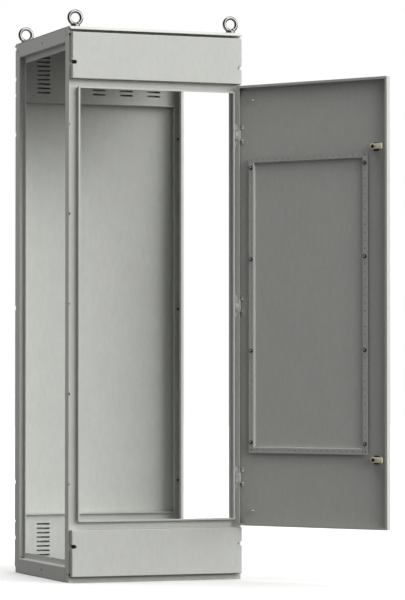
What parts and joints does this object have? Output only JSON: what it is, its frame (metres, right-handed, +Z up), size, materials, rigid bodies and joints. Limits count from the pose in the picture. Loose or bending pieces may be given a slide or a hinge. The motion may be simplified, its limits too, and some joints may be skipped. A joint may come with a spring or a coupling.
{
  "type": "drive enclosure",
  "caption": "Tall free-standing sheet-metal enclosure for a floor-mounted drive: hinged front door with cam locks, perforated posts, open sides, rear panel and lifting eyes.",
  "frame": {"origin": "on the floor, at the centre of the four floor bolt holes, which is the middle of the cabinet body", "axes": "+X to the right seen from the front, +Y to the rear, +Z up"},
  "size_m": [0.9132, 1.1054, 1.857],
  "materials": {
    "powder_coat": "light grey fine-texture powder coat",
    "inner_paint": "light grey smooth paint",
    "chrome": "bright plated",
    "yellow_zinc": "pale yellow passivated zinc",
    "bright_zinc": "bright zinc plate",
    "black_steel": "black zinc, satin",
    "galvanised_steel": "galvanised sheet",
    "blue_nylon": "moulded nylon"
  },
  "bodies": {
    "cabinet": {"eyebolt_front_left": "chrome", "eyebolt_front_right": "chrome", "eyebolt_nuts": "bright_zinc", "eyebolt_rear_left": "chrome", "eyebolt_rear_right": "chrome", "eyebolt_washers": "chrome", "floor_plates": "galvanised_steel", "front_cover_lower": "powder_coat", "front_cover_screws": "black_steel", "front_cover_upper": "powder_coat", "front_frame": "powder_coat", "gland_plate_front": "galvanised_steel", "gland_plate_rear": "galvanised_steel", "hinge_block_lower": "powder_coat", "hinge_block_middle": "powder_coat", "hinge_block_upper": "powder_coat", "hinge_lock_nut": "blue_nylon", "hinge_pin_lower": "bright_zinc", "hinge_pin_middle": "bright_zinc", "hinge_pin_upper": "bright_zinc", "hinge_screws": "bright_zinc", "hinge_stud": "bright_zinc", "post_front_left": "powder_coat", "post_front_right": "powder_coat", "post_rear_left": "powder_coat", "post_rear_right": "powder_coat", "rear_cover_lower": "powder_coat", "rear_cover_screws": "black_steel", "rear_cover_upper": "powder_coat", "rear_frame": "powder_coat", "rear_panel": "powder_coat", "roof": "powder_coat", "roof_corner_plates": "galvanised_steel", "side_rail_bottom_left": "powder_coat", "side_rail_bottom_right": "powder_coat", "side_rail_top_left": "powder_coat", "side_rail_top_right": "powder_coat"},
    "door": {"door_shell": "powder_coat", "door_stile_hinge_side": "inner_paint", "door_stile_lock_side": "inner_paint", "door_rail_lower": "inner_paint", "door_rail_upper": "inner_paint", "stiffener_studs": "bright_zinc", "stiffener_nuts": "black_steel", "door_earth_studs": "bright_zinc", "hinge_ears_lower": "powder_coat", "hinge_ears_middle": "powder_coat", "hinge_ears_upper": "powder_coat", "lock_housing_lower": "black_steel", "lock_housing_upper": "black_steel", "lock_nut_lower": "black_steel", "lock_nut_upper": "black_steel"},
    "cam_upper": {"lock_cam_upper": "yellow_zinc", "lock_spindle_upper": "black_steel", "cam_screw_upper": "black_steel"},
    "cam_lower": {"lock_cam_lower": "yellow_zinc", "lock_spindle_lower": "black_steel", "cam_screw_lower": "black_steel"}
  },
  "joints": [
    {"name": "door_swing", "type": "hinge", "parent": "cabinet", "child": "door", "pos_m": [0.2875, -0.306, 0.8995], "axis": [0, 0, 1], "range_deg": [-124, 6]},
    {"name": "lock_upper_turn", "type": "hinge", "parent": "door", "child": "cam_upper", "pos_m": [0.58303, -0.74415, 1.3995], "axis": [-0.829, -0.5592, 0], "range_deg": [0, 90]},
    {"name": "lock_lower_turn", "type": "hinge", "parent": "door", "child": "cam_lower", "pos_m": [0.58303, -0.74415, 0.3995], "axis": [-0.829, -0.5592, 0], "range_deg": [0, 90]}
  ]
}
